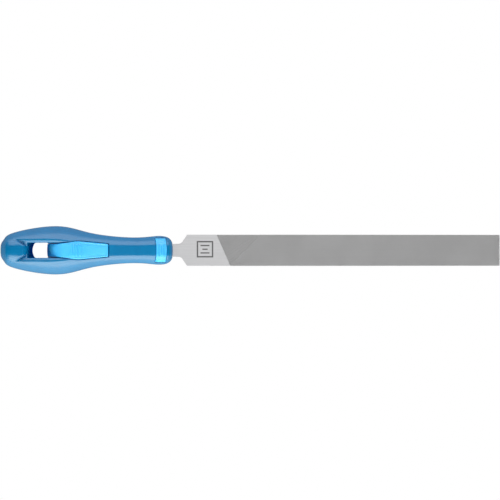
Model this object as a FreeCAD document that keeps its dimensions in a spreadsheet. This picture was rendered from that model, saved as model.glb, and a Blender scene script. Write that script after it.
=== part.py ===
import FreeCAD, Part
import math
import os
import re
import Sketcher
from FreeCAD import Vector

# Flat hand file, 8 inch size, with a two-material moulded handle.
# +X runs along the file from the butt of the handle to the tip of the blade, +Z is up.
# X is zero half-way along the file, and every body is drawn about the file's centre line
# and then lifted so that the handle rests on z = 0.

doc = FreeCAD.newDocument("flat_file")

# ---------------------------------------------------------------- driving dimensions (mm)
SIZES = [
    # overall
    ("butt_at", -162.2, "X of the handle's butt"),
    ("tip_at", 162.2, "X of the blade's tip"),
    # blade
    ("shoulder_at", -41.1, "X where the blade reaches its full width"),
    ("blade_width", 20.3, "blade width over the parallel part"),
    ("blade_thick", 5.0, "blade thickness"),
    ("tip_width", 20.1, "blade width at the tip"),
    ("narrowing_at", 39.5, "X where the blade starts to narrow"),
    ("shoulder_run", 2.2, "length of the sloping shoulder"),
    ("shoulder_half", 5.9, "half width where the slope starts"),
    ("shoulder_root", 3.4, "radius between the tang and the shoulder"),
    ("edge_break", 0.25, "bevel on the long edges"),
    # tang
    ("tang_width", 8.6, "tang width at the shoulder"),
    ("tang_thick", 5.0, "tang thickness at the shoulder"),
    ("tang_end_at", -108.0, "X of the tang's end"),
    ("tang_end_width", 3.6, "tang width at its end"),
    ("tang_end_thick", 2.8, "tang thickness at its end"),
    ("tang_root_at", -46.4, "X where the tapered tang begins"),
    ("tang_gap", 0.03, "clearance between tang and socket, all round"),
    ("tang_end_gap", 1.5, "free depth beyond the tang's end"),
    # outside form of the handle: control points of its outline, distance from the butt and height
    ("handle_length", 112.7, "butt to nose"),
    ("cap_half", 4.8, "butt cap"),
    ("cap_edge_far", 3.3, "rounded edge of the butt, inner point"),
    ("cap_edge_half", 7.4, ""),
    ("butt_far", 3.8, "rounded edge of the butt, outer point"),
    ("butt_half", 11.3, ""),
    ("bulb_far", 40.1, "bulb"),
    ("bulb_half", 18.1, ""),
    ("slope_far", 56.0, "slope behind the bulb"),
    ("slope_half", 10.6, ""),
    ("neck_far", 88.7, "neck"),
    ("neck_half", 7.5, ""),
    ("collar_far", 101.5, "collar, back"),
    ("collar_half", 9.7, ""),
    ("collar_front_far", 109.1, "collar, front"),
    ("collar_front_half", 9.1, ""),
    ("nose_far", 112.2, "nose"),
    ("nose_half", 5.5, ""),
    ("nose_cap_half", 0.5, ""),
    ("crown_drop", 0.5, "depth of the flat that runs along the top and along the bottom"),
    ("axis_height", 14.2942, "height of the centre line over the lowest point of the handle"),
    ("clear_half", 36.0, "half width of cutting outlines, clear of the handle"),
    ("clear_run", 5.0, "how far cutting outlines reach beyond what they cut"),
    # hanging window in the grip
    ("hole_back", 21.0, "back of the window at mid height, from the butt"),
    ("hole_bow", 8.2, "radius of the window's rounded back"),
    ("hole_bow_rise", 1.6, "how far that arc reaches back"),
    ("hole_front", 31.2, "front of the window at mid height, where the tongue closes it"),
    ("hole_half", 4.9, "half width of the window at mid height"),
    ("mouth_narrowing", 6.5, "length over which the mouth's sides close in at the front"),
    ("waist_half", 5.65, "half width where the mouth meets the panel"),
    # flare of the window's mouth at three levels above the centre line; the outer one is clear
    # of the handle. At each level: the notch on the centre line and the corners, both measured
    # from the butt, and the half width
    ("flare_start", 1.5, "inner level"),
    ("tail_inner", 21.0, ""),
    ("corner_inner", 20.9, ""),
    ("flare_middle", 8.0, "middle level"),
    ("tail_middle", 19.4, ""),
    ("corner_middle", 13.5, ""),
    ("middle_half", 5.9, ""),
    ("front_middle", 38.0, ""),
    ("flare_end", 18.1, "outer level"),
    ("tail_outer", 15.5, ""),
    ("corner_outer", 2.0, ""),
    ("outer_half", 7.9, ""),
    ("front_outer", 48.0, ""),
    # panel of the core, seen in the window
    ("panel_front", 70.4, "front of the panel, from the butt"),
    ("panel_front_half", 4.15, "half width at the front"),
    ("panel_wide", 50.3, "widest place, from the butt"),
    ("panel_wide_half", 6.0, ""),
    ("tongue_back", 31.0, "end of the tongue at mid height, from the butt"),
    ("tongue_half", 4.3, "half width of the tongue"),
    ("tongue_neck", 40.5, "where the tongue starts to widen, from the butt"),
    ("tongue_top", 45.3, "where the tongue's rounded end meets the surface, from the butt"),
    ("tongue_round", 14.3, "radius of the tongue's rounded end, in side view"),
    ("panel_gap", 0.45, "groove between panel and grip"),
    ("groove_floor", 7.0, "level of the groove's floor over the centre line"),
    # inside of the core
    ("rod_back", 48.0, "start of the core's rod, from the butt"),
    ("rod_half", 5.9, "radius of the rod"),
    ("rod_front", 109.6, "front of the rod, from the butt"),
    ("core_inset", 0.05, "core surface below the grip surface"),
    # label field on the collar
    ("label_back", 100.7, "rear corners of the label field, from the butt"),
    ("label_front", 107.6, "front corners of the label field, from the butt"),
    ("label_half", 7.9, "half width of the label field"),
    ("label_bow", 34.0, "radius of its two curved ends"),
]

sheet = doc.addObject("Spreadsheet::Sheet", "Sizes")
for row, (alias, value, note) in enumerate(SIZES, start=1):
    sheet.set(f"A{row}", alias.replace("_", " "))
    sheet.set(f"B{row}", str(value))
    sheet.set(f"C{row}", note)
    sheet.setAlias(f"B{row}", alias)
doc.recompute()


# ---------------------------------------------------------------- helpers
def size(expression):
    """Present value of an expression written with the sheet's aliases."""
    value = sheet.evalExpression(expression)
    return float(getattr(value, "Value", value))


def bound(expression):
    """The same expression, as another object has to write it: with the sheet's name."""
    return re.sub(r"[a-z][a-z_]+", lambda word: "Sizes." + word.group(), expression)


def new_body(name):
    return doc.addObject("PartDesign::Body", name)


def new_sketch(body, name, plane, offset="0"):
    """Sketch on one of the body's own origin planes, moved along its normal by offset."""
    sketch = body.newObject("Sketcher::SketchObject", name)
    origin_plane = next(f for f in body.Origin.OriginFeatures if f.Role == plane)
    sketch.AttachmentSupport = [(origin_plane, "")]
    sketch.MapMode = "FlatFace"
    sketch.setExpression("AttachmentOffset.Base.z", bound(offset))
    return sketch


def hold(sketch, geometry, point, where):
    """Hold a point of the sketch by two distances bound to the sheet."""
    for axis, expression in zip(("DistanceX", "DistanceY"), where):
        name = f"{axis[-1].lower()}{sketch.ConstraintCount}"
        index = sketch.addConstraint(
            Sketcher.Constraint(axis, -1, 1, geometry, point, size(expression)))
        sketch.renameConstraint(index, name)
        sketch.setExpression("Constraints." + name, bound(expression))


def outline(sketch, corners, bows=()):
    """Closed outline through corners given as pairs of expressions.

    bows maps the index of a side to the radius of the arc that replaces it; the arc bulges
    to the right of its travel when the sign is '+', and to the left when it is '-'."""
    bows = dict(bows)
    points = [Vector(size(x), size(y), 0) for x, y in corners]
    sides = []
    for index, start in enumerate(points):
        end = points[(index + 1) % len(points)]
        if index in bows:
            sign, radius_expression = bows[index]
            radius = size(radius_expression)
            chord = end - start
            reach = math.sqrt(radius ** 2 - (chord.Length / 2) ** 2)
            right = Vector(chord.y, -chord.x, 0).normalize() * (1 if sign == "+" else -1)
            middle = (start + end) / 2 + right * (radius - reach)
            side = sketch.addGeometry(Part.Arc(start, middle, end), False)
            forward = sign == "+"      # FreeCAD stores every arc counter-clockwise
            sides.append((side, 1 if forward else 2, 2 if forward else 1, radius_expression))
        else:
            side = sketch.addGeometry(Part.LineSegment(start, end), False)
            sides.append((side, 1, 2, None))
    for index, (side, first, last, radius_expression) in enumerate(sides):
        following = sides[(index + 1) % len(sides)]
        sketch.addConstraint(Sketcher.Constraint(
            "Coincident", side, last, following[0], following[1]))
        hold(sketch, side, first, corners[index])
        if radius_expression:
            name = f"bow{index}"
            added = sketch.addConstraint(
                Sketcher.Constraint("Radius", side, size(radius_expression)))
            sketch.renameConstraint(added, name)
            sketch.setExpression("Constraints." + name, bound(radius_expression))


def spline_outline(sketch, poles, closing):
    """Closed outline of one spline, given by its control points, and of straight sides."""
    points = [Vector(size(x), size(y), 0) for x, y in poles]
    spline = sketch.addGeometry(
        Part.BSplineCurve(points, None, None, False, 3, None, False), False)
    for index, point in enumerate(points):
        handle = sketch.addGeometry(Part.Circle(point, Vector(0, 0, 1), 1.0), True)
        sketch.addConstraint(Sketcher.Constraint(
            "InternalAlignment:Sketcher::BSplineControlPoint", handle, 3, spline, index))
        sketch.addConstraint(Sketcher.Constraint("Weight", handle, 1.0))
        hold(sketch, handle, 3, poles[index])
    corners = [points[-1]] + [Vector(size(x), size(y), 0) for x, y in closing] + [points[0]]
    last, last_point = spline, 2
    for index, (start, end) in enumerate(zip(corners, corners[1:])):
        side = sketch.addGeometry(Part.LineSegment(start, end), False)
        sketch.addConstraint(Sketcher.Constraint("Coincident", last, last_point, side, 1))
        if index < len(closing):
            hold(sketch, side, 2, closing[index])
        last, last_point = side, 2
    sketch.addConstraint(Sketcher.Constraint("Coincident", last, 2, spline, 1))


def rectangle(x_low, x_high, y_low, y_high):
    return [(x_low, y_low), (x_high, y_low), (x_high, y_high), (x_low, y_high)]


def feature(body, kind, name, sketch, **settings):
    made = body.newObject("PartDesign::" + kind, name)
    made.Profile = sketch
    sketch.Visibility = False
    for key, value in settings.items():
        setattr(made, key, value)
    return made


def revolution(body, name, sketch, cut=False):
    """Turn a sketch of the XY plane about the file's centre line."""
    return feature(body, "Groove" if cut else "Revolution", name, sketch,
                   ReferenceAxis=(sketch, ["H_Axis"]), Angle=360)


def cut_through(body, name, sketch):
    return feature(body, "Pocket", name, sketch, Type="ThroughAll", Midplane=True)


def mirrored(body, feature_to_copy, name):
    """Copy a feature to the other face of the file."""
    copy = body.newObject("PartDesign::Mirrored", name)
    copy.Originals = [feature_to_copy]
    plane = next(f for f in body.Origin.OriginFeatures if f.Role == "XY_Plane")
    copy.MirrorPlane = (plane, [""])
    body.Tip = copy
    return copy


def from_butt(distance):
    return f"butt_at + {distance}"


# ---------------------------------------------------------------- blade with its tang
blade = new_body("FileBlade")
plan = new_sketch(blade, "BladePlan", "XY_Plane")
half, tip_half, tang_half = "blade_width / 2", "tip_width / 2", "tang_width / 2"
slope_at = "shoulder_at - shoulder_run"
outline(plan, [
    ("tang_root_at", "0 - " + tang_half), (slope_at, "0 - shoulder_half"),
    ("shoulder_at", "0 - " + half), ("narrowing_at", "0 - " + half),
    ("tip_at", "0 - " + tip_half), ("tip_at", tip_half),
    ("narrowing_at", half), ("shoulder_at", half),
    (slope_at, "shoulder_half"), ("tang_root_at", tang_half),
], {0: ("-", "shoulder_root"), 8: ("-", "shoulder_root")})
slab = feature(blade, "Pad", "BladeSlab", plan, Midplane=True)
slab.setExpression("Length", bound("blade_thick"))
doc.recompute()


LONG = 30.0         # the edges of the shoulders and of the tip are shorter than this
LEVEL = 0.01


def is_long_edge(edge):
    box = edge.BoundBox
    return box.XLength > LONG and box.ZLength < LEVEL


long_edges = [f"Edge{number}" for number, edge in enumerate(slab.Shape.Edges, start=1)
              if is_long_edge(edge)]
bevel = blade.newObject("PartDesign::Chamfer", "EdgeBreak")
bevel.Base = (slab, long_edges)
bevel.setExpression("Size", bound("edge_break"))


def tang_section(body, name, place, width, thick, grow="0"):
    """Rectangular section of the tang, or of its socket when grow is given."""
    sketch = new_sketch(body, name, "YZ_Plane", place)
    across, up = f"{width} / 2 + {grow}", f"{thick} / 2 + {grow}"
    outline(sketch, rectangle(f"0 - ({across})", across, f"0 - ({up})", up))
    return sketch


tang_root = tang_section(blade, "TangRoot", "tang_root_at", "tang_width", "tang_thick")
tang_end = tang_section(blade, "TangEnd", "tang_end_at", "tang_end_width", "tang_end_thick")
feature(blade, "AdditiveLoft", "Tang", tang_end, Sections=[tang_root], Ruled=True)

# ---------------------------------------------------------------- outside form of the handle
FORM = [
    ("0", "0"), ("0", "cap_half"), ("cap_edge_far", "cap_edge_half"), ("butt_far", "butt_half"),
    ("bulb_far", "bulb_half"), ("slope_far", "slope_half"), ("neck_far", "neck_half"),
    ("collar_far", "collar_half"), ("collar_front_far", "collar_front_half"),
    ("nose_far", "nose_half"), ("handle_length", "nose_cap_half"), ("handle_length", "0"),
]


def form_poles(inset):
    """Control points of the handle's outline, drawn inwards by inset except on the axis."""
    return [(from_butt(along), "0" if up == "0" else f"{up} - {inset}") for along, up in FORM]


def crown_flats(body, name, inset):
    """A flat along the top and another along the bottom, a fixed depth below the outline."""
    crown = new_sketch(body, name + "CrownOutline", "XZ_Plane")
    drop = f"{inset} + crown_drop"
    poles = [(from_butt(along), f"{up} - ({drop})") for along, up in FORM[1:-1]]
    spline_outline(crown, poles, [
        (from_butt("handle_length + clear_run"), f"nose_cap_half - ({drop})"),
        (from_butt("handle_length + clear_run"), "clear_half"),
        ("butt_at - clear_run", "clear_half"),
        ("butt_at - clear_run", f"cap_half - ({drop})")])
    mirrored(body, cut_through(body, name + "Crown", crown), name + "CrownBelow")


# ---------------------------------------------------------------- hard core, without its socket
def both_sides(upper, grow="0", centre=()):
    """Closed outline from its upper half; grow moves every corner away from the centre line.

    centre adds corners that lie on the centre line, after the last one of the upper half."""
    lower = [(x, f"0 - ({y} + {grow})") for x, y in upper]
    return lower + [(x, f"{y} + {grow}") for x, y in reversed(upper)] + list(centre)


core = new_body("CoreForm")
rod = new_sketch(core, "RodOutline", "XY_Plane")
outline(rod, rectangle(from_butt("rod_back"), from_butt("rod_front"), "0", "rod_half"))
revolution(core, "Rod", rod)

# The panel is a web that stands through the grip from the top face to the bottom face.
PANEL = [
    (from_butt("tongue_back"), "tongue_half"), (from_butt("tongue_neck"), "tongue_half"),
    (from_butt("panel_wide"), "panel_wide_half"), (from_butt("panel_front"), "panel_front_half"),
]
panel = new_sketch(core, "PanelOutline", "XY_Plane")
outline(panel, both_sides(PANEL))
web = feature(core, "Pad", "PanelWeb", panel, Midplane=True)
web.setExpression("Length", bound("clear_half"))

# The label field reaches the outside only on the top and on the bottom.
LABEL = [(from_butt("label_back"), "label_half"), (from_butt("label_front"), "label_half")]
LABEL_BOWS = {1: ("+", "label_bow"), 3: ("-", "label_bow")}
label = new_sketch(core, "LabelOutline", "XY_Plane")
outline(label, both_sides(LABEL), LABEL_BOWS)
field = feature(core, "Pad", "LabelField", label, Midplane=True)
field.setExpression("Length", bound("clear_half"))

# Everything is trimmed to the handle's outside form.
trim = new_sketch(core, "TrimOutline", "XY_Plane")
spline_outline(trim, form_poles("core_inset")[1:-1], [
    (from_butt("handle_length + clear_run"), "nose_cap_half - core_inset"),
    (from_butt("handle_length + clear_run"), "clear_half"), ("butt_at - clear_run", "clear_half"),
    ("butt_at - clear_run", "cap_half - core_inset")])
revolution(core, "TrimToForm", trim, cut=True)
crown_flats(core, "Core", "core_inset")

# The tongue rolls over from the panel's surface to mid height.
roll = new_sketch(core, "TongueRollOutline", "XZ_Plane")
outline(roll, [
    (from_butt("tongue_back - clear_run"), "0"), (from_butt("tongue_back"), "0"),
    (from_butt("tongue_top"), "tongue_round"), (from_butt("tongue_top"), "clear_half"),
    (from_butt("tongue_back - clear_run"), "clear_half"),
], {1: ("-", "tongue_round")})
mirrored(core, cut_through(core, "TongueRoll", roll), "TongueRollBelow")

# ---------------------------------------------------------------- grip, before the core fills it
grip = new_body("GripForm")
form = new_sketch(grip, "GripOutline", "XY_Plane")
spline_outline(form, form_poles("0"), [])
revolution(grip, "GripTurned", form)
crown_flats(grip, "Grip", "0")

# The window: straight at mid height, with a mouth that flares to the top and to the bottom.
hole = new_sketch(grip, "WindowOutline", "XY_Plane")
outline(hole, both_sides([(from_butt("hole_back + hole_bow_rise"), "hole_half"),
                          (from_butt("hole_front"), "hole_half")]),
        {3: ("-", "hole_bow")})
cut_through(grip, "Window", hole)
slot = new_sketch(grip, "PanelGrooveOutline", "XY_Plane", "groove_floor")
outline(slot, both_sides(PANEL[1:-1] + [(from_butt("panel_front + panel_gap"),
                                         "panel_front_half")], grow="panel_gap"))
groove = feature(grip, "Pocket", "PanelGroove", slot, Type="ThroughAll", Reversed=True)
mirrored(grip, groove, "PanelGrooveBelow")
label_slot = new_sketch(grip, "LabelSlotOutline", "XY_Plane")
outline(label_slot, both_sides(LABEL), LABEL_BOWS)
cut_through(grip, "LabelSlot", label_slot)

# At every level the mouth's back is notched: the butt runs into it as a tail between two corners.
mouth = []
for name, tail, corner, width, front, front_width, level in (
        ("MouthInner", "tail_inner", "corner_inner", "hole_half", "hole_front", "hole_half",
         "flare_start"),
        ("MouthMiddle", "tail_middle", "corner_middle", "middle_half", "front_middle",
         "middle_half", "flare_middle"),
        ("MouthOuter", "tail_outer", "corner_outer", "outer_half", "front_outer", "waist_half",
         "flare_end")):
    sketch = new_sketch(grip, name, "XY_Plane", level)
    outline(sketch, both_sides([(from_butt(corner), width),
                                (from_butt(f"{front} - mouth_narrowing"), width),
                                (from_butt(front), front_width)],
                               centre=[(from_butt(tail), "0")]))
    mouth.append(sketch)
flare = feature(grip, "SubtractiveLoft", "Mouth", mouth[0], Sections=mouth[1:], Ruled=True)
mirrored(grip, flare, "MouthBelow")

# ---------------------------------------------------------------- socket for the tang
socket = new_body("TangSocket")
wide = tang_section(socket, "SocketRoot", "tang_root_at", "tang_width", "tang_thick", "tang_gap")
deep = tang_section(socket, "SocketDeep", "tang_end_at", "tang_end_width", "tang_end_thick",
                    "tang_gap")
feature(socket, "AdditiveLoft", "SocketTaper", deep, Sections=[wide], Ruled=True)
end = tang_section(socket, "SocketEnd", "tang_end_at", "tang_end_width", "tang_end_thick",
                   "tang_gap")
clearance = feature(socket, "Pad", "SocketBottom", end, Reversed=True)
clearance.setExpression("Length", bound("tang_end_gap"))


# ---------------------------------------------------------------- finished sub-parts
def cut(name, base, tool):
    made = doc.addObject("Part::Cut", name)
    made.Base, made.Tool = base, tool
    return made


handle_core = cut("HandleCore", core, socket)
grip_around_core = cut("GripAroundCore", grip, core)
grip_cover = cut("GripCover", grip_around_core, socket)

SUBPARTS = {"file_blade": blade, "handle_core": handle_core, "grip_cover": grip_cover}
for label_text, part in SUBPARTS.items():
    part.Label = label_text
    part.setExpression("Placement.Base.z", bound("axis_height"))
doc.recompute()

for made in doc.Objects:
    if {"Invalid", "Error"} & set(made.State):
        raise RuntimeError(f"{made.Name} failed: {made.State}")
os.makedirs("parts", exist_ok=True)
for label_text, part in SUBPARTS.items():
    if part.Shape.isNull() or not part.Shape.isValid():
        raise RuntimeError(f"{label_text} has no valid shape")
    part.Shape.exportStep(os.path.join("parts", label_text + ".step"))
    print(label_text, round(part.Shape.Volume), part.Shape.BoundBox, len(part.Shape.Solids))
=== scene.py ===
import math
import bmesh
import bpy
import numpy as np
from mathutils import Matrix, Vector


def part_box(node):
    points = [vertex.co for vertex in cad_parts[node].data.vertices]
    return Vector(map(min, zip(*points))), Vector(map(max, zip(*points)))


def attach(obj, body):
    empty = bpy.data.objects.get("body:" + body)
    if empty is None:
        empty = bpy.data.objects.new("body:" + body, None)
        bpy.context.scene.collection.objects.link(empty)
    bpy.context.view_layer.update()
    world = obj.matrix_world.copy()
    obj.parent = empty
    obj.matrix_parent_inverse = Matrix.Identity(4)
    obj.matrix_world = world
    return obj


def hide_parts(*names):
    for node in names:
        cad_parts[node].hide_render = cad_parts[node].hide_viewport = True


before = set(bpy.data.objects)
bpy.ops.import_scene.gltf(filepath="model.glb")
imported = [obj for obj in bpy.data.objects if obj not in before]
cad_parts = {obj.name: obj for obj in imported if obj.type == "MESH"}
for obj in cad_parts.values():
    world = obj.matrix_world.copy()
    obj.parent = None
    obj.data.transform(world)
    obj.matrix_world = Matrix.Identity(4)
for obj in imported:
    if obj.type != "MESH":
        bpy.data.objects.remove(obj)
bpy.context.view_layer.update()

# Shapes are worked out in millimetres about the file's centre line and written in metres.
# s is the distance from the handle's butt and x the distance from the middle of the file,
# both along it; y goes across the file and z up from the centre line.
MM = 0.001
blade_low, blade_high = (np.array(corner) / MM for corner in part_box("file_blade"))
grip_low = np.array(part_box("grip_cover")[0]) / MM
BUTT = grip_low[0]
TIP = blade_high[0]
AXIS_Z = (blade_low[2] + blade_high[2]) / 2
FACE = blade_high[2] - AXIS_Z              # height of the blade's faces over the centre line
HALF_WIDTH = (blade_high[1] - blade_low[1]) / 2
TANG_END = blade_low[0]

# ------------------------------------------------------------------ dimensions of the handle
HANDLE = 112.7                       # butt to nose
# control points of the outline: s and radius
FORM = [(0, 0), (0, 4.8), (3.3, 7.4), (3.8, 11.3), (40.1, 18.1), (56.0, 10.6), (88.7, 7.5),
        (101.5, 9.7), (109.1, 9.1), (112.2, 5.5), (HANDLE, 0.5), (HANDLE, 0)]
CROWN_DROP = (0.09, 0.41)            # depth of the flats at the butt, and what the bulb adds
CROWN_ROUND = 0.45
# core: corners of the panel's outline as s and half width
TONGUE_NECK, PANEL_WIDE, PANEL_FRONT = (40.5, 4.3), (50.3, 6.0), (70.4, 4.15)
PANEL_INSET = 0.06                   # the panel's rim lies this far below the grip's form
RECESS = 0.42                        # depth of the panel's face below its rim
RIBS = (45.9, 48.1, 50.3, 52.5)      # s of the panel's ribs
RIB_HALF = (0.75, 3.9)               # half thickness at the foot, half length
RIB_HIGH = 0.34
TONGUE_TOP = 45.0                    # s where the tongue starts to roll over
TONGUE_REACH, TONGUE_HIGH = 14.2, 14.6
TONGUE_BULGE = 0.3                   # its end is rounded by this much across its width
ROD_RADIUS, ROD_BACK, ROD_FRONT = 5.9, 48.0, 109.6
LABEL_CENTRE = 105.05
LABEL_HALF = (3.4, 7.8)              # half size of the label field, along and across
LABEL_BOW = 34.0                     # radius of its two curved ends
LABEL_INSET = 0.1
BARS = ((103.4, 4.2), (105.0, 3.2), (106.6, 4.2))      # s and half length of the label's bars
BAR_HALF, BAR_HIGH = 0.45, 0.14
# socket for the tang
TANG_ROOT = -46.4                    # x where the taper of the tang begins
SOCKET_ROOT = (4.33, 2.53)           # half width and half height of the socket at its mouth
SOCKET_TAPER = (2.5, 1.1)            # how much of them is gone at the tang's end
SOCKET_END = -109.5                  # x of its floor
# window in the grip; half width of its mouth's rim: places along s, and the half widths there
MOUTH_RIM = ([10, 31, 35.9, 40.5, 44.4, 46.5], [6.9, 6.9, 6.7, 6.4, 5.85, 5.5])
MOUTH_FRONT = 46.0
HOLE_HALF, HOLE_FRONT = 4.95, 31.0   # the straight hole deep down, up to the tongue
HOLE_CLOSING = 0.6                   # how much its sides close in beside the tongue
TAIL_AT = 21.0                       # s of the hole's back at mid height
TAIL_LEAN = 0.38                     # how it leans to the butt, for each step up
TAIL_BOW = 1.6                       # how much further forward it is at its sides
TAIL_ROLL = 1.3                      # how far its upper edge rolls over
# plane of the wall between tail and rim: a point of it and its normal, along, across and up
FLANK_AT, FLANK_NORMAL = (10.7, 6.5, 10.3), (0.50, 0.85, 0.05)
# groove in the grip round the panel
GROOVE_WIDE, GROOVE_DEEP, GROOVE_BACK, GROOVE_FRONT = 0.2, 0.7, 40.0, 71.0


# ------------------------------------------------------------------ fields
# A field is a signed distance: negative inside the solid.
def smooth_max(a, b, k):
    return np.maximum(a, b) + np.maximum(k - np.abs(a - b), 0) ** 2 / (4 * k)


def smooth_min(a, b, k):
    return -smooth_max(-a, -b, k)


def ramp(x, low, high):
    t = np.clip((x - low) / (high - low), 0, 1)
    return t * t * (3 - 2 * t)


def close_to(distance, half, fade):
    """1 well within half, 0 beyond it, and smooth between."""
    return ramp(half - distance, 0, fade)


def through(s, start, end):
    """Height at s of the straight line through two points."""
    return start[1] + (s - start[0]) * (end[1] - start[1]) / (end[0] - start[0])


def ellipse(x, z, a, b):
    reach = np.hypot(x / a, z / b) + 1e-9
    return (reach - 1) * reach / (np.hypot(x / a ** 2, z / b ** 2) + 1e-9)


def spline(poles, count):
    """Points of the clamped cubic spline with these control points."""
    poles = np.array(poles, float)
    spans = len(poles) - 3
    knots = np.concatenate([np.zeros(3), np.linspace(0, 1, spans + 1), np.ones(3)])
    t = np.linspace(0, 1, count)
    span = np.clip((t * spans).astype(int), 0, spans - 1) + 3
    work = [poles[span - 3 + j] for j in range(4)]
    for level in range(1, 4):
        for j in range(3, level - 1, -1):
            left = knots[span - 3 + j]
            right = knots[span + 1 + j - level]
            part = ((t - left) / (right - left))[:, None]
            work[j] = (1 - part) * work[j - 1] + part * work[j]
    return work[3]


PITCH = 0.2                          # spacing of the table of the outline's distances
MARGIN = 6                           # how far the table reaches beyond the butt and the nose
TABLE_RADIUS = 26


def outline_table():
    """Distance from the handle's outline, on a grid of s and radius."""
    curve = spline(FORM, 500)
    start, step = curve[:-1], np.diff(curve, axis=0)
    radii = np.arange(0, TABLE_RADIUS, PITCH)
    rows = []
    for s in np.arange(-MARGIN, HANDLE + MARGIN, PITCH):
        point = np.stack([np.full_like(radii, s), radii], 1)[:, None]
        along = ((point - start) * step).sum(2) / (step ** 2).sum(1)
        nearest = start + np.clip(along, 0, 1)[..., None] * step
        gap = np.linalg.norm(point - nearest, axis=2).min(1)
        height = np.interp(s, curve[:, 0], curve[:, 1], left=-1, right=-1)
        rows.append(np.where(radii < height, -gap, gap))
    return np.array(rows)


OUTLINE = outline_table()


def outline_distance(s, radius):
    """The table's value between its grid points."""
    i = np.clip((s + MARGIN) / PITCH, 0, OUTLINE.shape[0] - 1.001)
    j = np.clip(radius / PITCH, 0, OUTLINE.shape[1] - 1.001)
    i0, j0 = i.astype(int), j.astype(int)
    u, v = i - i0, j - j0
    return ((OUTLINE[i0, j0] * (1 - u) + OUTLINE[i0 + 1, j0] * u) * (1 - v)
            + (OUTLINE[i0, j0 + 1] * (1 - u) + OUTLINE[i0 + 1, j0 + 1] * u) * v)


def form(s, y, z, inset=0.0):
    """Turned handle with a flat along its top and its bottom, narrower towards the butt."""
    turned = outline_distance(s, np.hypot(y, z))
    drop = CROWN_DROP[0] + CROWN_DROP[1] * ramp(s, 8, 36)
    crown = outline_distance(s, np.abs(z) + drop)
    return smooth_max(turned, crown, CROWN_ROUND) + inset


def panel_half(s):
    """Half width of the panel: a parallel tongue that widens, then narrows to the front."""
    widening = through(s, TONGUE_NECK, PANEL_WIDE)
    narrowing = through(s, PANEL_WIDE, PANEL_FRONT)
    return smooth_min(smooth_max(widening, TONGUE_NECK[1], 0.8), narrowing, 0.5)


def panel_plan(s, y):
    return smooth_max(np.abs(y) - panel_half(s), s - PANEL_FRONT[0], 0.7)


def label_plan(s, y):
    bow = LABEL_BOW - np.sqrt(LABEL_BOW ** 2 - np.minimum(np.abs(y), 12) ** 2)
    along = np.abs(s + bow - LABEL_CENTRE) - LABEL_HALF[0]
    return smooth_max(np.abs(y) - LABEL_HALF[1], along, 0.6)


def rod_field(s, y, z):
    return np.maximum(np.hypot(y, z) - ROD_RADIUS, np.maximum(ROD_BACK - s, s - ROD_FRONT))


def tang_socket(s, y, z):
    x = s + BUTT
    taper = np.clip((TANG_ROOT - x) / (TANG_ROOT - TANG_END), 0, 1)
    side = np.abs(y) - (SOCKET_ROOT[0] - SOCKET_TAPER[0] * taper)
    roof = np.abs(z) - (SOCKET_ROOT[1] - SOCKET_TAPER[1] * taper)
    return np.maximum(np.maximum(side, roof), SOCKET_END - x)


def core_field(s, y, z):
    """Hard core: the panel with its tongue, the label field and the rod between them."""
    plan = panel_plan(s, y)
    recess = RECESS * ramp(-plan, 0.55, 1.25) * ramp(s, 46, 57)
    ribs = sum(close_to(np.abs(s - at), RIB_HALF[0], 0.55) for at in RIBS)
    ribs = ribs * close_to(np.abs(y), RIB_HALF[1], 0.5)
    top = form(s, y, z, PANEL_INSET) + recess - RIB_HIGH * ribs
    bulge = TONGUE_BULGE * np.clip(1 - (y / TONGUE_NECK[1]) ** 2, 0, 1)
    tongue = ellipse(np.maximum(TONGUE_TOP - s, 0), z, TONGUE_REACH + bulge, TONGUE_HIGH)
    web = smooth_max(smooth_max(top, tongue, 1.2), plan, 0.6)
    bars = sum(close_to(np.abs(s - at), BAR_HALF, 0.3) * close_to(np.abs(y), half, 0.3)
               for at, half in BARS)
    label = smooth_max(form(s, y, z, LABEL_INSET) - BAR_HIGH * bars, label_plan(s, y), 0.5)
    solid = np.minimum(np.minimum(web, label), rod_field(s, y, z))
    return np.maximum(solid, -tang_socket(s, y, z))


def mouth(s, y, z):
    """Flared mouth of the hanging window, above and below, and the hole between."""
    across, up = np.abs(y), np.abs(z)
    depth = np.maximum(-form(s, y, z), 0)
    # deep down the hole has straight sides
    beside_tongue = ramp(s, HOLE_FRONT, HOLE_FRONT + 0.5) * ramp(8.6 - up, 0, 1.2)
    straight = across - (HOLE_HALF - HOLE_CLOSING * beside_tongue)
    # near the surface the side walls drop a little, then slope in as a scoop
    narrowing = 0.3 * ramp(depth, 0, 0.6) + smooth_max(depth - 0.45, 0, 0.4) / 0.7
    scoop = across - (np.interp(s, *MOUTH_RIM) - narrowing)
    # the butt runs into the window as a tail, between the two scoops
    bow = np.minimum(across / 4.9, 1.4) ** 2 * np.maximum(TAIL_BOW - 0.16 * up, 0)
    lean = TAIL_LEAN * (np.hypot(z, 3.0) - 3.0) + TAIL_ROLL * ramp(up, 10.2, 14)
    tail = (TAIL_AT + bow - lean - s) / 1.07
    flank = -sum(slope * (place - at) for slope, place, at in
                 zip(FLANK_NORMAL, (s, across, up), FLANK_AT)) / 0.99
    hole = smooth_max(straight, tail, 0.9)
    scoops = smooth_max(scoop, smooth_min(tail, flank, 1.2), 0.8)
    return smooth_max(smooth_min(hole, scoops, 0.9), s - MOUTH_FRONT, 0.3)


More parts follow.
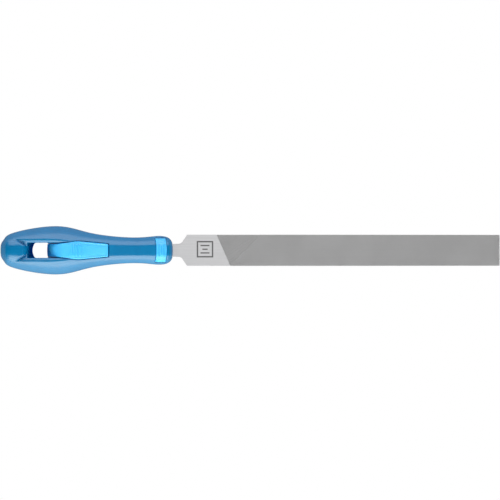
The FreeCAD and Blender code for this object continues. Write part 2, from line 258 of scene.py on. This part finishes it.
def grip_field(s, y, z):
    """Soft grip: the form less the window, the core with the groove round it and the socket."""
    outside = form(s, y, z)
    solid = smooth_max(outside, -mouth(s, y, z), 0.8)
    beside = np.abs(y) - panel_half(s) - GROOVE_WIDE
    groove = smooth_max(smooth_max(beside, s - GROOVE_FRONT, 0.9), GROOVE_BACK - s, 0.3)
    groove = np.maximum(groove, -outside - GROOVE_DEEP)
    solid = smooth_max(solid, -groove, 0.55)
    web = np.maximum(panel_plan(s, y) - 0.03, HOLE_FRONT - s)
    solid = np.maximum(solid, -web)
    solid = smooth_max(solid, 0.02 - label_plan(s, y), 0.9)
    solid = np.maximum(solid, -rod_field(s, y, z))
    return smooth_max(solid, -tang_socket(s, y, z), 0.3)


# ------------------------------------------------------------------ meshes from fields
CORNERS = [(i, j, k) for i in (0, 1) for j in (0, 1) for k in (0, 1)]
EDGES = [(a, b) for a in range(8) for b in range(a + 1, 8)
         if sum(abs(p - q) for p, q in zip(CORNERS[a], CORNERS[b])) == 1]


def gradient(field, points, reach=0.06):
    slopes = []
    for axis in range(3):
        shift = np.zeros(3)
        shift[axis] = reach
        slopes.append(field(*(points + shift).T) - field(*(points - shift).T))
    return np.stack(slopes, 1) / (2 * reach)


def surface_cells(inside):
    """Grid cells that the surface passes through, and the number of each by its place."""
    count = sum(inside[i:inside.shape[0] - 1 + i, j:inside.shape[1] - 1 + j,
                       k:inside.shape[2] - 1 + k].astype(np.int8) for i, j, k in CORNERS)
    cells = np.argwhere((count > 0) & (count < 8))
    number = np.full(count.shape, -1)
    number[tuple(cells.T)] = np.arange(len(cells))
    return cells, number


def crossings(values, cells):
    """One place per cell: the mean of the points where its edges cross the surface."""
    corner_values = np.stack([values[tuple((cells + c).T)] for c in CORNERS], 1)
    total, hits = np.zeros((len(cells), 3)), np.zeros(len(cells))
    for a, b in EDGES:
        va, vb = corner_values[:, a], corner_values[:, b]
        cut = (va < 0) != (vb < 0)
        part = np.where(cut, va / np.where(cut, va - vb, 1), 0)[:, None]
        crossing = np.array(CORNERS[a]) + part * (np.array(CORNERS[b]) - np.array(CORNERS[a]))
        total += crossing * cut[:, None]
        hits += cut
    return cells + total / hits[:, None]


def cell_quads(inside, number):
    """A quad across every grid edge that crosses the surface, joining the cells round it."""
    quads = []
    for axis in range(3):
        one, two = (axis + 1) % 3, (axis + 2) % 3
        lower = [slice(1, n - 1) for n in inside.shape]
        upper = list(lower)
        lower[axis], upper[axis] = slice(0, -1), slice(1, None)
        a, b = inside[tuple(lower)], inside[tuple(upper)]
        shift = np.ones(3, int)
        shift[axis] = 0
        for starts_inside in (True, False):
            at = np.argwhere((a != b) & (a == starts_inside)) + shift
            ring = []
            for d_one, d_two in ((1, 1), (0, 1), (0, 0), (1, 0)):
                cell = at.copy()
                cell[:, one] -= d_one
                cell[:, two] -= d_two
                ring.append(number[tuple(cell.T)])
            quads.append(np.stack(ring if starts_inside else ring[::-1], 1))
    return np.concatenate(quads)


def toward_surface(field, points, longest):
    """Step that takes each point on to the surface, no longer than longest; and the normals."""
    slope = gradient(field, points)
    length = np.maximum((slope ** 2).sum(1), 0.05)[:, None]
    step = np.clip(-field(*points.T)[:, None] * slope / length, -longest, longest)
    return step, slope / np.sqrt(length)


def relaxed(field, points, quads):
    """Points moved on to the surface and spread evenly along it."""
    links = np.concatenate([quads[:, [i, (i + 1) % 4]] for i in range(4)])
    degree = np.bincount(links.ravel(), minlength=len(points))[:, None]
    for _ in range(6):
        step, normal = toward_surface(field, points, longest=0.3)
        points = points + step
        total = np.zeros_like(points)
        for axis in range(3):
            for here, there in ((0, 1), (1, 0)):
                total[:, axis] += np.bincount(
                    links[:, here], points[links[:, there], axis], len(points))
        drift = total / degree - points
        points += 0.5 * (drift - (drift * normal).sum(1)[:, None] * normal)
    for _ in range(3):
        points = points + toward_surface(field, points, longest=0.2)[0]
    return points


def surface(field, low, high, steps):
    """Even quad mesh of a field's surface: points, quads and outward normals."""
    axes = [np.arange(a, b + step, step) for a, b, step in zip(low, high, steps)]
    values = np.empty([len(axis) for axis in axes])
    gy, gz = np.meshgrid(axes[1], axes[2], indexing="ij")
    for row, x in enumerate(axes[0]):
        values[row] = field(np.full_like(gy, x), gy, gz)
    inside = values < 0
    cells, number = surface_cells(inside)
    quads = cell_quads(inside, number)
    origin = np.array([axis[0] for axis in axes])
    points = relaxed(field, origin + crossings(values, cells) * np.array(steps), quads)
    slope = gradient(field, points, reach=0.12)
    return points, quads, slope / np.linalg.norm(slope, axis=1)[:, None]


def to_world(points, along=0.0):
    return (np.asarray(points) + (along, 0, AXIS_Z)) * MM


def add_object(name, data):
    made = bpy.data.objects.new(name, data)
    bpy.context.scene.collection.objects.link(made)
    return made


def add_piece(name, mesh, body, node, material):
    piece = add_object(name, mesh)
    piece.data.materials.append(material)
    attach(piece, body)
    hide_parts(node)
    return piece


def field_mesh(name, field, low, high, steps):
    points, quads, normals = surface(field, low, high, steps)
    mesh = bpy.data.meshes.new(name)
    mesh.from_pydata(to_world(points, BUTT).tolist(), [], quads.tolist())
    mesh.shade_smooth()
    mesh.normals_split_custom_set_from_vertices(normals.tolist())
    return mesh


# ------------------------------------------------------------------ blade
FIRST_START = (-21.3, 9.9)           # where the first cut's first row leaves the long edge
SECOND_START = (7.6, 9.9)            # the same for the second cut
FIRST_ANGLE, SECOND_ANGLE = math.radians(-66.3), math.radians(45)
FIRST_PITCH, SECOND_PITCH = 0.76, 0.66
FIRST_DEEP, SECOND_DEEP = 0.2, 0.27
CREST_AT = 0.34                      # place of the crest in a row, as a part of the pitch
CUT_LENGTH = 190                     # how far the rows of either cut are laid, before trimming
PLAIN_ROWS = 60                      # rows behind the second cut's start, where it isn't cut
RIM, RIM_FALL = 0.3, 0.8             # width of the worn rim of a cut face, and how it falls
BED = 0.42                           # teeth stand on a bed this far below the crests
NARROWING = 39.5
TIP_HALF = 10.05
EDGE_DEEP, EDGE_PITCH = 0.18, 0.8    # teeth of the cut edge
EDGE_CREST, EDGE_SLANT = 0.3, 0.9
LEDGE = 0.1                          # thickness of the rims that close the cut faces' undersides
TANG_HALF = 4.3
ROOT_RADIUS = 3.4                    # between the tang and the shoulder
SHOULDER_CORNER = (-40.3, 0.8)       # x of its centre, and its radius
HEEL_BACK = (-50.4, 4.15)            # the heel runs on into the handle, along the tang's taper
HEEL_BEVEL = 0.12
# x, half width and half height of the tang's sections
TANG_SECTIONS = ((TANG_ROOT, TANG_HALF - 0.01, FACE - 0.01), (TANG_END + 0.6, 1.82, 1.42),
                 (TANG_END, 1.4, 1.0))
TANG_BEVEL = 0.35


def edge_half(x):
    """Half width of the blade, in front of the shoulders."""
    return np.interp(x, [NARROWING, TIP], [HALF_WIDTH, TIP_HALF])


def first_row_x(y):
    """X of the line where the first cut starts."""
    return FIRST_START[0] + (y - FIRST_START[1]) / math.tan(FIRST_ANGLE)


def moved_verts(grown):
    return [element for element in grown["geom"] if isinstance(element, bmesh.types.BMVert)]


def face_outward(mesh, axis):
    """Turn the faces of an open skin so that they look along an axis."""
    bmesh.ops.recalc_face_normals(mesh, faces=mesh.faces)
    if sum(face.normal[axis] for face in mesh.faces) < 0:
        bmesh.ops.reverse_faces(mesh, faces=mesh.faces)


def mesh_cut(mesh, point, normal, clear):
    bmesh.ops.bisect_plane(mesh, geom=mesh.verts[:] + mesh.edges[:] + mesh.faces[:],
                           plane_co=point, plane_no=normal, clear_outer=clear, dist=1e-5)


def cut_rows(pitch):
    """Places and heights (0 low, 1 high) of the valley and crest of every row."""
    rows = np.arange(int(CUT_LENGTH / pitch))
    places = np.stack([rows * pitch, (rows + CREST_AT) * pitch], 1).ravel()
    return places, np.tile([0, 1], len(rows))


def tooth_grid():
    """Corners of both cuts' teeth, on a grid whose lines run along the two cuts."""
    across_one = np.array([-math.sin(FIRST_ANGLE), math.cos(FIRST_ANGLE)])
    across_two = np.array([math.sin(SECOND_ANGLE), -math.cos(SECOND_ANGLE)])
    u, high_u = cut_rows(FIRST_PITCH)
    v, high_v = cut_rows(SECOND_PITCH)
    v = v - PLAIN_ROWS * SECOND_PITCH
    high_v = np.where(v < -0.01, 1, high_v)
    gu, gv = np.meshgrid(u + across_one @ FIRST_START, v + across_two @ SECOND_START,
                         indexing="ij")
    solve = np.linalg.inv(np.array([across_one, across_two]))
    x, y = np.einsum("ab,bij->aij", solve, np.stack([gu, gv]))
    z = FACE - np.maximum(FIRST_DEEP * (1 - high_u)[:, None],
                          SECOND_DEEP * (1 - high_v)[None, :])
    return x, y, z


def tooth_skin():
    """Double-cut teeth over one face, as a mesh about the centre line."""
    x, y, z = tooth_grid()
    spare = 1.2
    keep = (np.abs(y) < HALF_WIDTH + spare) & (x < TIP + spare)
    number = np.full(x.shape, -1)
    number[keep] = np.arange(keep.sum())
    ring = np.stack([number[:-1, :-1], number[1:, :-1], number[1:, 1:], number[:-1, 1:]], -1)
    mesh = bmesh.new()
    corners = [mesh.verts.new(point) for point in zip(x[keep], y[keep], z[keep])]
    for quad in ring[(ring >= 0).all(-1)]:
        mesh.faces.new([corners[i] for i in quad])
    # trim to the blade's outline, with one more line of edges where the rim starts to fall
    taper = math.atan2(HALF_WIDTH - TIP_HALF, TIP - NARROWING)
    for side in (1, -1):
        for inset in (RIM, 0):
            for tilt in (0, taper):
                mesh_cut(mesh, (NARROWING, side * (HALF_WIDTH - inset), 0),
                         (math.sin(tilt), side * math.cos(tilt), 0), clear=inset == 0)
    mesh_cut(mesh, (TIP - RIM, 0, 0), (1, 0, 0), clear=False)
    mesh_cut(mesh, (TIP, 0, 0), (1, 0, 0), clear=True)
    for vert in mesh.verts:
        over = max(abs(vert.co.y) - edge_half(vert.co.x), vert.co.x - TIP) + RIM
        vert.co.z = min(vert.co.z, FACE - RIM_FALL * max(over, 0))
    # close the sides down to the bed
    bmesh.ops.recalc_face_normals(mesh, faces=mesh.faces)
    border = [edge for edge in mesh.edges if edge.is_boundary]
    for vert in moved_verts(bmesh.ops.extrude_edge_only(mesh, edges=border)):
        vert.co.z = FACE - BED
    face_outward(mesh, 2)
    return mesh


def edge_teeth():
    """Single-cut teeth along the cut edge, at +Y."""
    mesh = bmesh.new()
    high = FACE - BED - LEDGE / 2
    start, end = float(first_row_x(-HALF_WIDTH)) + 0.2, TIP - 0.01
    previous = None
    for row in range(2 * math.ceil((end - start) / EDGE_PITCH)):
        crest = row % 2
        x = start + (row // 2 + EDGE_CREST * crest) * EDGE_PITCH
        pair = []
        for z, shift in ((-high, 0), (high, EDGE_SLANT)):
            at = min(x + shift, end)
            pair.append(mesh.verts.new((at, edge_half(at) - EDGE_DEEP * (1 - crest), z)))
        if previous:
            mesh.faces.new((previous[0], pair[0], pair[1], previous[1]))
        previous = pair
    face_outward(mesh, 1)
    return mesh


def arc(centre, radius, start, end, count):
    angles = np.radians(np.linspace(start, end, count))
    return [(centre[0] + radius * math.cos(a), centre[1] + radius * math.sin(a)) for a in angles]


def heel_plan():
    """Outline of the ground heel, from inside the handle to the start of the first cut."""
    corner_x, corner_radius = SHOULDER_CORNER
    upper = [HEEL_BACK]
    upper += arc((TANG_ROOT, TANG_HALF + ROOT_RADIUS), ROOT_RADIUS, -90, -27, 12)
    upper += arc((corner_x, HALF_WIDTH - corner_radius), corner_radius, 152, 90, 5)
    lower = [(x, -y) for x, y in upper[:-1]] + [(first_row_x(-HALF_WIDTH), -HALF_WIDTH)]
    upper += [(first_row_x(HALF_WIDTH), HALF_WIDTH)]
    return lower + upper[::-1]


def bed_plan(edge_deep):
    """Outline of the steel under the teeth; the cut edge is lower by the depth of its teeth."""
    start, last = first_row_x(HALF_WIDTH) - 0.4, first_row_x(-HALF_WIDTH)
    side = HALF_WIDTH - 0.02         # just inside the heel
    return [(start, -side), (last, -side), (last, -HALF_WIDTH), (NARROWING, -HALF_WIDTH),
            (TIP, -TIP_HALF), (TIP, TIP_HALF - edge_deep), (NARROWING, HALF_WIDTH - edge_deep),
            (last, HALF_WIDTH - edge_deep), (last, side), (start, side)]


def prism(plan, low, high, bevel=0.0):
    """Closed solid over a plan outline, with its upper rim bevelled."""
    mesh = bmesh.new()
    face = mesh.faces.new([mesh.verts.new((x, y, low)) for x, y in plan])
    for vert in moved_verts(bmesh.ops.extrude_face_region(mesh, geom=[face])):
        vert.co.z = high
    bmesh.ops.recalc_face_normals(mesh, faces=mesh.faces)
    if bevel:
        rim = [edge for edge in mesh.edges if min(vert.co.z for vert in edge.verts) > high - 1e-6]
        bmesh.ops.bevel(mesh, geom=rim, offset=bevel, segments=3, profile=0.5, affect="EDGES")
    return mesh


def tang():
    """Tapered tang, forged in one piece with the blade."""
    mesh = bmesh.new()
    rings = []
    for x, half, high in TANG_SECTIONS:
        ring = [(x, side * (half - dy), up * (high - dz)) for side in (1, -1) for up in (1, -1)
                for dy, dz in ((TANG_BEVEL, 0), (0, TANG_BEVEL))]
        ring.sort(key=lambda point: math.atan2(point[2], point[1]))
        rings.append([mesh.verts.new(point) for point in ring])
    for one, two in zip(rings, rings[1:]):
        for i in range(8):
            mesh.faces.new((one[i], one[(i + 1) % 8], two[(i + 1) % 8], two[i]))
    mesh.faces.new(rings[0])
    mesh.faces.new(rings[-1])
    bmesh.ops.recalc_face_normals(mesh, faces=mesh.faces)
    return mesh


def turned_over(mesh):
    """The same on the other face, as it is after rolling the blade over."""
    for vert in mesh.verts:
        vert.co.y, vert.co.z = -vert.co.y, -vert.co.z
    return mesh


def write_mesh(name, *parts):
    """One mesh from several bmeshes, in metres."""
    points, faces = [], []
    for part in parts:
        part.verts.index_update()
        first = len(points)
        points += [tuple(vert.co) for vert in part.verts]
        faces += [[first + vert.index for vert in face.verts] for face in part.faces]
        part.free()
    mesh = bpy.data.meshes.new(name)
    mesh.from_pydata(to_world(points).tolist(), [], faces)
    return mesh


# ------------------------------------------------------------------ materials
class Network:
    """Short ways to add and link the nodes of a material or of the world.

    A value given to a node is either another node's output or plain numbers."""

    def __init__(self, tree):
        self.nodes, self.links = tree.nodes, tree.links

    def add(self, kind):
        return self.nodes.new("ShaderNode" + kind)

    def feed(self, socket, value):
        if isinstance(value, bpy.types.NodeSocket):
            self.links.new(value, socket)
        elif socket.type == "RGBA":
            socket.default_value = (*value, 1)
        else:
            socket.default_value = value

    def separate(self, vector):
        node = self.add("SeparateXYZ")
        self.feed(node.inputs[0], vector)
        return node.outputs

    def math(self, operation, *values):
        node = self.add("Math")
        node.operation = operation
        for socket, value in zip(node.inputs, values):
            self.feed(socket, value)
        return node.outputs[0]

    def step(self, value, low, high):
        """0 where the value is low, 1 where it is high; low may be the larger."""
        node = self.add("MapRange")
        self.feed(node.inputs["Value"], value)
        node.inputs["From Min"].default_value = low
        node.inputs["From Max"].default_value = high
        return node.outputs[0]

    def ramp(self, value, stops):
        node = self.add("ValToRGB")
        elements = node.color_ramp.elements
        for index, (place, colour) in enumerate(stops):
            stop = elements[index] if index < 2 else elements.new(place)
            stop.position = place
            stop.color = (*colour, 1)
        self.feed(node.inputs[0], value)
        return node.outputs[0]

    def noise(self, vector, scale, detail=2.0, roughness=0.5, stretch=None):
        if stretch:
            mapping = self.add("Mapping")
            mapping.inputs["Scale"].default_value = stretch
            self.feed(mapping.inputs[0], vector)
            vector = mapping.outputs[0]
        node = self.add("TexNoise")
        node.inputs["Scale"].default_value = scale
        node.inputs["Detail"].default_value = detail
        node.inputs["Roughness"].default_value = roughness
        self.feed(node.inputs["Vector"], vector)
        return node.outputs["Fac"]

    def over(self, below, above, factor):
        """Mix of two colours."""
        node = self.add("Mix")
        node.data_type = "RGBA"
        self.feed(node.inputs["Factor"], factor)
        self.feed(node.inputs["A"], below)
        self.feed(node.inputs["B"], above)
        return node.outputs["Result"]

    def shaded(self, colour, shade_colour, reach, enclosed, open_to_sky):
        """The colour with painted shade: it turns to the shade colour where ambient occlusion finds
        the surface enclosed.
        """
        node = self.add("AmbientOcclusion")
        node.inputs["Distance"].default_value = reach
        node.samples = 8
        return self.over(colour, shade_colour, self.step(node.outputs["AO"], open_to_sky, enclosed))

    def bump(self, shader, height, strength, distance):
        node = self.add("Bump")
        node.inputs["Strength"].default_value = strength
        node.inputs["Distance"].default_value = distance
        self.feed(node.inputs["Height"], height)
        self.feed(shader.inputs["Normal"], node.outputs[0])

    def distance_from(self, value, centre):
        return self.math("ABSOLUTE", self.math("SUBTRACT", value, centre * MM))

    def within(self, value, half):
        """1 where the value is below half, 0 above it, with a soft edge."""
        return self.step(value, (half + 0.1) * MM, (half - 0.1) * MM)

    def strip(self, thickness, length, half_thick, half_long):
        """1 on a straight strip, from the distances to its two centre lines."""
        return self.math("MULTIPLY", self.within(thickness, half_thick),
                         self.within(length, half_long))


def new_material(name):
    """Material, its network and its Principled shader."""
    material = bpy.data.materials.new(name)
    material.use_nodes = True
    net = Network(material.node_tree)
    return material, net, net.nodes["Principled BSDF"]


def rubber():
    material, net, shader = new_material("grip_rubber")
    place = net.add("TexCoord").outputs["Object"]
    mottle = net.noise(place, 90, detail=3)
    colour = net.ramp(mottle, [(0.3, (0.0, 0.135, 0.325)), (0.7, (0.0, 0.155, 0.36))])
    # painted shade: the blue turns navy where the surface is enclosed, in the window, the groove
    # and the seams, and near black deep in the hole
    colour = net.shaded(colour, (0.0, 0.045, 0.2), 6 * MM, enclosed=0.25, open_to_sky=0.92)
    colour = net.shaded(colour, (0.0, 0.012, 0.075), 16 * MM, enclosed=0.12, open_to_sky=0.55)
    net.feed(shader.inputs["Base Color"], colour)
    net.feed(shader.inputs["Roughness"], net.math("MULTIPLY_ADD", mottle, 0.06, 0.23))
    net.bump(shader, net.noise(place, 2600, roughness=0.6), strength=0.25, distance=0.1 * MM)
    shader.inputs["Specular IOR Level"].default_value = 0.6
    return material


PRINT_HALF, PRINT_COVER = 0.4, 0.5


def label_bars(net, place):
    """Plain printed bars on the label fields: how much of the print covers the plastic."""
    along, across, _ = net.separate(place)
    across = net.distance_from(across, 0)
    mark = 0.0
    for at, half in BARS:
        bar = net.strip(net.distance_from(along, BUTT + at), across, PRINT_HALF, half)
        mark = net.math("MAXIMUM", mark, bar)
    return net.math("MULTIPLY", mark, PRINT_COVER)


def hard_plastic():
    material, net, shader = new_material("core_plastic")
    place = net.add("TexCoord").outputs["Object"]
    mottle = net.noise(place, 60)
    colour = net.ramp(mottle, [(0.3, (0.06, 0.45, 0.88)), (0.7, (0.08, 0.49, 0.92))])
    # painted shade and bounce light: enclosed parts of the core, such as the tongue's foot, turn a
    # deeper, saturated blue
    colour = net.shaded(colour, (0.0, 0.38, 1.0), 6 * MM, enclosed=0.45, open_to_sky=0.97)
    colour = net.over(colour, (0.01, 0.26, 0.62), label_bars(net, place))
    net.feed(shader.inputs["Base Color"], colour)
    net.feed(shader.inputs["Roughness"], net.math("MULTIPLY_ADD", mottle, 0.1, 0.25))
    net.bump(shader, net.noise(place, 1800), strength=0.12, distance=0.1 * MM)
    shader.inputs["Specular IOR Level"].default_value = 0.35
    shader.inputs["Subsurface Weight"].default_value = 0.3
    shader.inputs["Subsurface Radius"].default_value = (0.2, 0.6, 1.0)
    shader.inputs["Subsurface Scale"].default_value = 2 * MM
    return material


MARK_CENTRE = (-29.1, 0.7)
MARK_HALF = 4.9                                        # half size of the frame
MARK_BARS = ((2.4, 2.9), (0.0, 1.7), (-2.4, 2.9))      # height over the centre, half length
FRAME_LINE, BAR_LINE = 0.42, 0.38                      # half widths of the lines
MARK_COVER = 0.9


def heel_mark(net, x, y, z):
    """Plain etched frame with three bars, on the upper face of the heel."""
    across = net.distance_from(x, MARK_CENTRE[0])
    up = net.distance_from(y, MARK_CENTRE[1])
    edge = net.math("MAXIMUM", across, up)
    mark = net.within(net.distance_from(edge, MARK_HALF), FRAME_LINE)
    for height, half in MARK_BARS:
        bar = net.strip(net.distance_from(y, MARK_CENTRE[1] + height), across, BAR_LINE, half)
        mark = net.math("MAXIMUM", mark, bar)
    upper = net.math("GREATER_THAN", z, AXIS_Z * MM)
    return net.math("MULTIPLY", mark, net.math("MULTIPLY", upper, MARK_COVER))


def cut_side(net, y, z):
    """Y on the upper face, and what it would be there on the lower face, which has the same
    cut turned over. On the narrow edges the cuts start square, as at the lower end of theirs."""
    height = net.math("SUBTRACT", z, AXIS_Z * MM)
    across = net.math("MULTIPLY", y, net.math("SIGN", height))
    on_face = net.math("GREATER_THAN", net.math("ABSOLUTE", height), (FACE - BED) * MM)
    across = net.math("ADD", across, HALF_WIDTH * MM)
    return net.math("MULTIPLY_ADD", across, on_face, -HALF_WIDTH * MM)


def ahead_of(net, x, y, start, angle, lead):
    """1 in front of the line where a cut starts, 0 behind it; lead moves the line back."""
    slope = -1 / math.tan(angle)
    line = net.math("MULTIPLY_ADD", y, slope, -(start[0] + slope * start[1]) * MM)
    return net.step(net.math("ADD", x, line), (-0.3 - lead) * MM, (0.3 - lead) * MM)


def grey(low, high, tint):
    """Stops of a ramp between two greys, with a trace of blue."""
    return [(place, (value, value, value + tint)) for place, value in ((0.2, low), (0.8, high))]


def steel():
    material, net, shader = new_material("file_steel")
    place = net.add("TexCoord").outputs["Object"]
    x, y, z = net.separate(place)
    side = cut_side(net, y, z)
    grind = net.noise(place, 320, detail=4, roughness=0.6, stretch=(0.08, 3.5, 1.0))
    cloud = net.noise(place, 45, detail=3)
    ground = net.ramp(grind, grey(0.70, 0.80, 0.01))
    single = net.ramp(cloud, grey(0.57, 0.65, 0.002))
    double = net.ramp(cloud, grey(0.52, 0.58, 0.002))
    second = ahead_of(net, x, side, SECOND_START, SECOND_ANGLE, lead=0.8)
    ground = net.over(ground, (0.09, 0.09, 0.09), heel_mark(net, x, y, z))
    first = ahead_of(net, x, side, FIRST_START, FIRST_ANGLE, lead=0.0)
    teeth = net.over(single, double, second)
    net.feed(shader.inputs["Base Color"], net.over(ground, teeth, first))
    net.feed(shader.inputs["Roughness"], net.math("MULTIPLY_ADD", grind, 0.12, 0.5))
    net.bump(shader, grind, strength=0.18, distance=0.08 * MM)
    shader.inputs["Metallic"].default_value = 1.0
    return material


# ------------------------------------------------------------------ the object
# corners of the space in which each field is looked for, and the sizes of its grid's cells
GRIP_SPACE = ((-1.2, -16.6, -15.9), (114, 16.6, 15.9), (0.46, 0.4, 0.4))
CORE_SPACE = ((29, -8.6, -16.2), (111, 8.6, 16.2), (0.34, 0.27, 0.3))


def build_handle():
    coarser = 1.0
    for name, field, space, node, slot, material in (
            ("soft_grip", grip_field, GRIP_SPACE, "grip_cover", "grip_rubber", rubber()),
            ("hard_core", core_field, CORE_SPACE, "handle_core", "core_plastic", hard_plastic())):
        low, high, cell = space
        mesh = field_mesh(name, field, low, high, [size * coarser for size in cell])
        add_piece(name, mesh, "handle", node, material)


def build_blade():
    under = FACE - BED
    body = (prism(heel_plan(), 0, FACE, HEEL_BEVEL), tang(),
            turned_over(prism(heel_plan(), 0, FACE, HEEL_BEVEL)),
            prism(bed_plan(EDGE_DEEP), -under, under),
            prism(bed_plan(0), -under, LEDGE - under), prism(bed_plan(0), under - LEDGE, under))
    metal = steel()
    for name, parts in (("blade_body", body), ("cut_edge", (edge_teeth(),)),
                        ("cut_top", (tooth_skin(),)), ("cut_bottom", (turned_over(tooth_skin()),))):
        add_piece(name, write_mesh(name, *parts), "blade", "file_blade", metal)


# ------------------------------------------------------------------ stage, light and camera
def flat_sheet(name, low, high, half, z, material):
    """Level rectangle of the studio, from low to high along the file."""
    mesh = bpy.data.meshes.new(name)
    corners = [(low, -half, z), (high, -half, z), (high, half, z), (low, half, z)]
    mesh.from_pydata(corners, [], [(0, 1, 2, 3)])
    mesh.materials.append(material)
    return add_object(name, mesh)


def stage():
    material, net, shader = new_material("studio_floor")
    shader.inputs["Base Color"].default_value = (0.8, 0.8, 0.8, 1)
    shader.inputs["Roughness"].default_value = 0.9
    glow = net.add("Emission")
    glow.inputs["Color"].default_value = (1, 1, 1, 1)
    glow.inputs["Strength"].default_value = 1.0
    mix = net.add("MixShader")
    net.feed(mix.inputs[0], net.add("LightPath").outputs["Is Camera Ray"])
    net.feed(mix.inputs[1], shader.outputs[0])
    net.feed(mix.inputs[2], glow.outputs[0])
    net.feed(net.nodes["Material Output"].inputs[0], mix.outputs[0])
    half = 3.0
    floor = flat_sheet("floor", -half, half, half, -0.5 * MM, material)
    floor.visible_glossy = False        # reflections see the studio below the table's edge


def shade_card():
    """Dark card under the handle, seen in reflections only: the table there is in shadow,
    lit a little by the blue of the handle."""
    material, _, shader = new_material("dark_card")
    shader.inputs["Base Color"].default_value = (0.01, 0.02, 0.04, 1)
    shader.inputs["Roughness"].default_value = 0.9
    shader.inputs["Specular IOR Level"].default_value = 0.0
    # the card glows faintly blue: painted bounce light from the handle, seen in reflections
    shader.inputs["Emission Color"].default_value = (0.0, 0.12, 1.0, 1)
    shader.inputs["Emission Strength"].default_value = 0.5
    inset, half = 6, 9
    card = flat_sheet("shade_card", (BUTT + inset) * MM, (BUTT + HANDLE - inset) * MM,
                      half * MM, -0.4 * MM, material)
    card.visible_camera = False


def light_set(name, *members):
    receivers = bpy.data.collections.new(name)
    for member in members:
        receivers.objects.link(bpy.data.objects[member])
    return receivers


def area_light(name, receivers, tilt, bearing, distance, size, radiance, colour=(1, 1, 1)):
    """Soft box on these objects only; tilt is its angle from the zenith, bearing its side."""
    data = bpy.data.lights.new(name, "AREA")
    data.shape = "RECTANGLE"
    data.size, data.size_y = size
    data.energy = radiance * math.pi * size[0] * size[1]
    data.color = colour
    light = add_object(name, data)
    tilt, bearing = math.radians(tilt), math.radians(bearing)
    toward = Vector((math.sin(tilt) * math.cos(bearing), math.sin(tilt) * math.sin(bearing),
                     math.cos(tilt)))
    light.location = toward * distance
    light.rotation_euler = toward.to_track_quat("Z", "Y").to_euler()
    light.light_linking.receiver_collection = receivers
    return light


# glow of the surroundings, from straight below (0) over the horizon (0.5) to the zenith (1)
SURROUNDINGS = [(0.0, (0.12, 0.12, 0.12)), (0.19, (0.42, 0.40, 0.37)), (0.33, (0.74, 0.71, 0.67)),
                (0.49, (1.0, 1.0, 0.97)), (0.53, (0.02, 0.02, 0.02))]


def surroundings():
    """World that is brighter at -Y, the lower side of the picture, and darker at both ends."""
    world = bpy.data.worlds.new("studio")
    bpy.context.scene.world = world
    world.use_nodes = True
    net = Network(world.node_tree)
    x, y, z = net.separate(net.add("TexCoord").outputs["Generated"])
    background = net.nodes["Background"]
    height = net.math("MULTIPLY_ADD", z, 0.5, 0.5)
    net.feed(background.inputs[0], net.ramp(height, SURROUNDINGS))
    side = net.math("MULTIPLY_ADD", y, -0.8, 1.75)
    end = net.math("POWER", net.math("ABSOLUTE", x), 2.0)
    dimming = net.math("MULTIPLY_ADD", end, -0.75, 1.0)
    net.feed(background.inputs[1], net.math("MULTIPLY", side, dimming))


def studio():
    handle = light_set("handle_set", "soft_grip", "hard_core")
    rest = light_set("blade_set", "blade_body", "cut_edge", "cut_top", "cut_bottom", "floor")
    area_light("box_lower", handle, tilt=61, bearing=-90, distance=1.3, size=(3.0, 1.25),
               radiance=4.9, colour=(1.0, 0.975, 0.86))
    area_light("box_upper", handle, tilt=61, bearing=90, distance=1.3, size=(3.0, 1.25),
               radiance=2.8, colour=(0.95, 0.98, 1.0))
    fill = area_light("top_fill", handle, tilt=0, bearing=0, distance=1.6, size=(1.2, 1.2),
                      radiance=0.8)
    fill.visible_glossy = False
    area_light("blade_lower", rest, tilt=58, bearing=-90, distance=1.3, size=(3.0, 1.3),
               radiance=1.5)
    area_light("blade_upper", rest, tilt=58, bearing=90, distance=1.3, size=(3.0, 1.3),
               radiance=1.3)
    area_light("blade_top", rest, tilt=0, bearing=0, distance=1.6, size=(1.6, 1.6), radiance=0.9)
    surroundings()
    bpy.context.scene.view_settings.view_transform = "Standard"


SENSOR = 36                          # mm
PICTURE_WIDTH = 0.325                # metres, at the level of the file's centre line
PICTURE_CENTRE = (0.13, 0.2)         # mm from the file's middle
CAMERA_HIGH = 2.5


def camera():
    """Camera that looks straight down, from far enough for almost no perspective."""
    data = bpy.data.cameras.new("camera")
    data.sensor_width = SENSOR
    data.lens = SENSOR * (CAMERA_HIGH - AXIS_Z * MM) / PICTURE_WIDTH
    data.clip_end = 20
    eye = add_object("camera", data)
    eye.location = (PICTURE_CENTRE[0] * MM, PICTURE_CENTRE[1] * MM, CAMERA_HIGH)
    bpy.context.scene.camera = eye


build_handle()
build_blade()
stage()
shade_card()
studio()
camera()
